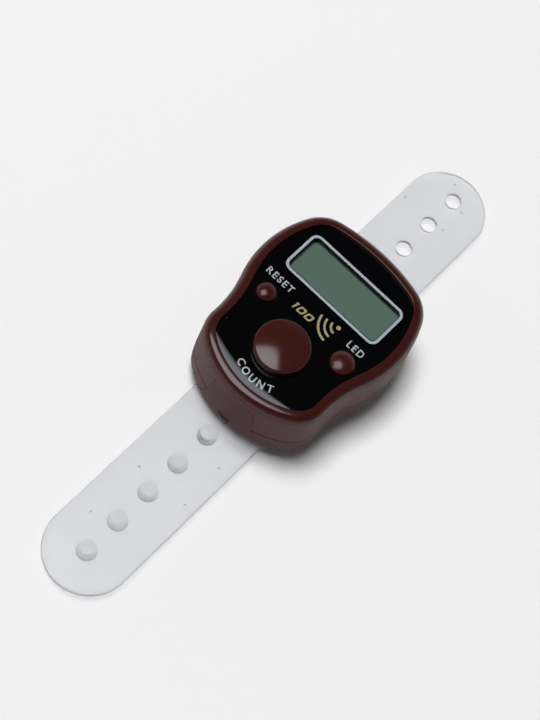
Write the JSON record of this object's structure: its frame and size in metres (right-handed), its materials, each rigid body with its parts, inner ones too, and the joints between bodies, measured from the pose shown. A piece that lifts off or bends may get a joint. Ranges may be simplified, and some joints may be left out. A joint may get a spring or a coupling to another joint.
{
  "type": "finger tally counter",
  "caption": "Waisted finger tally counter with a display window, domed push buttons and a clear pegged strap that slides through a bridge on the back.",
  "frame": {"origin": "middle of the flat bridge on the back, on the surface that the counter lies on", "axes": "+Z out of the display, +Y along the strap towards the display end, +X to the reader's right"},
  "size_m": [0.0298, 0.1024, 0.0179],
  "materials": {
    "case_brown": "moulded brown plastic, gloss rim and satin wall",
    "button_brown": "polished brown plastic",
    "panel_black": "gloss black printed panel",
    "clear_pane": "clear plastic",
    "display_film": "grey-green display film",
    "display_glass": "thin glass",
    "guide_white": "milky diffuser",
    "connector_rubber": "layered elastomer",
    "board_green": "solder mask",
    "epoxy_black": "dull epoxy",
    "chip_body": "small moulded parts",
    "lamp_body": "lamp lens",
    "dome_rubber": "silicone rubber",
    "cell_steel": "nickel-plated steel",
    "contact_metal": "spring strip",
    "disc_brass": "thin brass disc",
    "ceramic_disc": "silvered ceramic",
    "screw_steel": "plated screws",
    "strap_clear": "milky clear soft plastic"
  },
  "bodies": {
    "case": {"upper_case": "case_brown", "back_cover": "case_brown", "face_panel": "panel_black", "window_pane": "clear_pane", "lcd_polariser": "display_film", "lcd_cell": "display_glass", "light_guide": "guide_white", "lcd_connector": "connector_rubber", "circuit_board": "board_green", "controller_blob": "epoxy_black", "chip_parts": "chip_body", "backlight_led": "lamp_body", "count_key_dome": "dome_rubber", "reset_key_dome": "dome_rubber", "led_key_dome": "dome_rubber", "button_cell": "cell_steel", "battery_positive_contact": "contact_metal", "battery_negative_contact": "contact_metal", "buzzer_plate": "disc_brass", "buzzer_ceramic": "ceramic_disc", "buzzer_contacts": "contact_metal", "board_screws": "screw_steel", "case_screws": "screw_steel"},
    "count_button": {"count_button": "button_brown"},
    "reset_button": {"reset_button": "button_brown"},
    "led_button": {"led_button": "button_brown"},
    "strap": {"strap": "strap_clear"}
  },
  "joints": [
    {"name": "count_press", "type": "slide", "parent": "case", "child": "count_button", "axis": [0, 0, -1], "range_m": [0, 0.0008], "stiffness_N_per_m": 1500, "deforming": ["count_key_dome"]},
    {"name": "reset_press", "type": "slide", "parent": "case", "child": "reset_button", "axis": [0, 0, -1], "range_m": [0, 0.0006], "stiffness_N_per_m": 1400, "deforming": ["reset_key_dome"]},
    {"name": "led_press", "type": "slide", "parent": "case", "child": "led_button", "axis": [0, 0, -1], "range_m": [0, 0.0006], "stiffness_N_per_m": 1400, "deforming": ["led_key_dome"]},
    {"name": "strap_slide", "type": "slide", "parent": "case", "child": "strap", "axis": [0, 1, 0], "range_m": [-0.024, 0.0014]}
  ]
}
